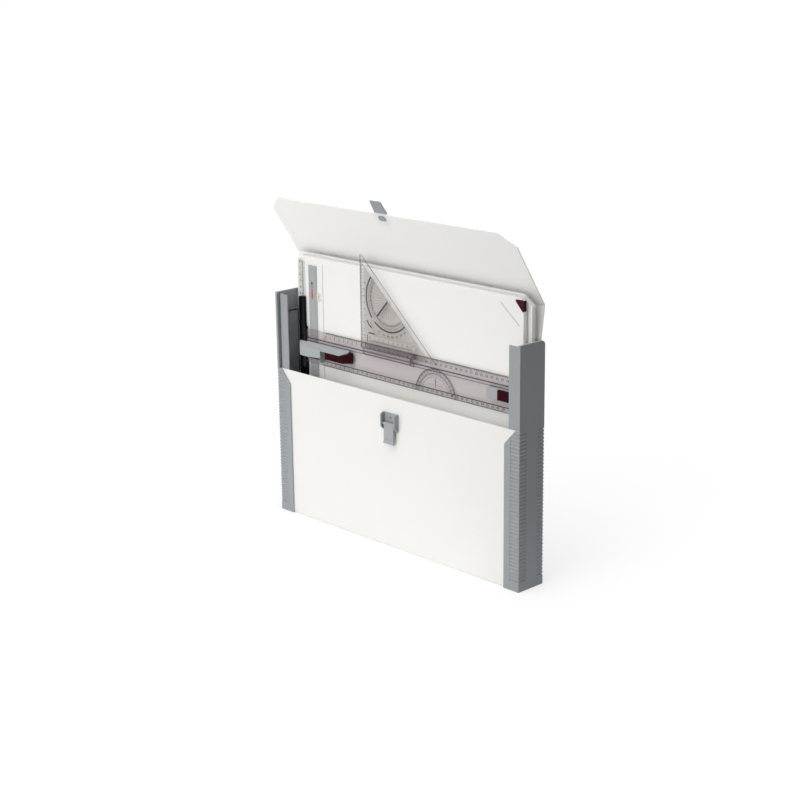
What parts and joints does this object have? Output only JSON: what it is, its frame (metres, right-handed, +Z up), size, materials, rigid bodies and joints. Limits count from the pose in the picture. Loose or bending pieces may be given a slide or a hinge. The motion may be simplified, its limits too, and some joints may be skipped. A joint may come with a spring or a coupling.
{
  "type": "portfolio case",
  "caption": "Slim upright drawing-board case: folded white sheet between two ribbed grey end mouldings, folding lid with tongue and lever clasp, board with parallel rule and set square inside.",
  "frame": {"origin": "middle of the case's underside, halfway along its width and depth", "axes": "+X to the right seen from the clasp side, +Y to the back, +Z up"},
  "size_m": [0.515, 0.081, 0.5313],
  "materials": {
    "white_sheet": "satin",
    "white_board": "matt",
    "grey_plastic": "satin",
    "light_grey_plastic": "satin",
    "maroon_plastic": "satin",
    "smoky_acrylic": "clear, smoky",
    "dark_acrylic": "clear, dark smoky",
    "steel": "brushed"
  },
  "bodies": {
    "case": {"shell_sheet": "white_sheet", "moulding_left": "grey_plastic", "moulding_right": "grey_plastic", "guide_left": "grey_plastic", "guide_right": "grey_plastic", "clasp_base": "grey_plastic", "clasp_rivet": "steel", "clasp_pin": "steel"},
    "strip": {"top_strip": "white_sheet"},
    "flap": {"lid_flap": "white_sheet", "lid_tongue": "grey_plastic", "tongue_rivet": "grey_plastic", "flap_studs": "white_sheet"},
    "lever": {"clasp_lever": "light_grey_plastic"},
    "board": {"drawing_board": "white_board", "board_backing": "white_board", "scale_strip": "white_board", "clamp_bar": "light_grey_plastic", "clamp_clip": "white_board", "corner_insert": "maroon_plastic"},
    "rule": {"rule_blade": "smoky_acrylic", "rule_head": "dark_acrylic", "rule_handle": "light_grey_plastic", "head_right": "light_grey_plastic"},
    "lock_slide_left": {"lock_left": "maroon_plastic"},
    "lock_slide_right": {"lock_right": "maroon_plastic"},
    "square": {"set_square": "smoky_acrylic", "square_slider": "dark_acrylic", "slider_clip": "dark_acrylic"}
  },
  "joints": [
    {"name": "strip_fold", "type": "hinge", "parent": "case", "child": "strip", "pos_m": [0, 0.0226, 0.359], "axis": [1, 0, 0], "range_deg": [0, 98]},
    {"name": "flap_fold", "type": "hinge", "parent": "strip", "child": "flap", "pos_m": [0, 0.02914, 0.40554], "axis": [1, 0, 0], "range_deg": [0, 49]},
    {"name": "board_slide", "type": "slide", "parent": "case", "child": "board", "axis": [0, 0, -1], "range_m": [0, 0.1182]},
    {"name": "rule_slide", "type": "slide", "parent": "board", "child": "rule", "axis": [0, 0, 1], "range_m": [-0.118, 0.012]},
    {"name": "square_slide", "type": "slide", "parent": "rule", "child": "square", "axis": [1, 0, 0], "range_m": [-0.008, 0.14]},
    {"name": "lock_left_slide", "type": "slide", "parent": "rule", "child": "lock_slide_left", "axis": [1, 0, 0], "range_m": [-0.008, 0]},
    {"name": "lock_right_slide", "type": "slide", "parent": "rule", "child": "lock_slide_right", "axis": [1, 0, 0], "range_m": [-0.018, 0]},
    {"name": "clasp_lever_turn", "type": "hinge", "parent": "case", "child": "lever", "pos_m": [0, -0.0284, 0.1956], "axis": [1, 0, 0], "range_deg": [-105, 0]}
  ],
  "couplings": [
    {"joint": "strip_fold", "follows": "board_slide", "rad_per_m": 14.47},
    {"joint": "flap_fold", "follows": "board_slide", "rad_per_m": 7.235}
  ]
}
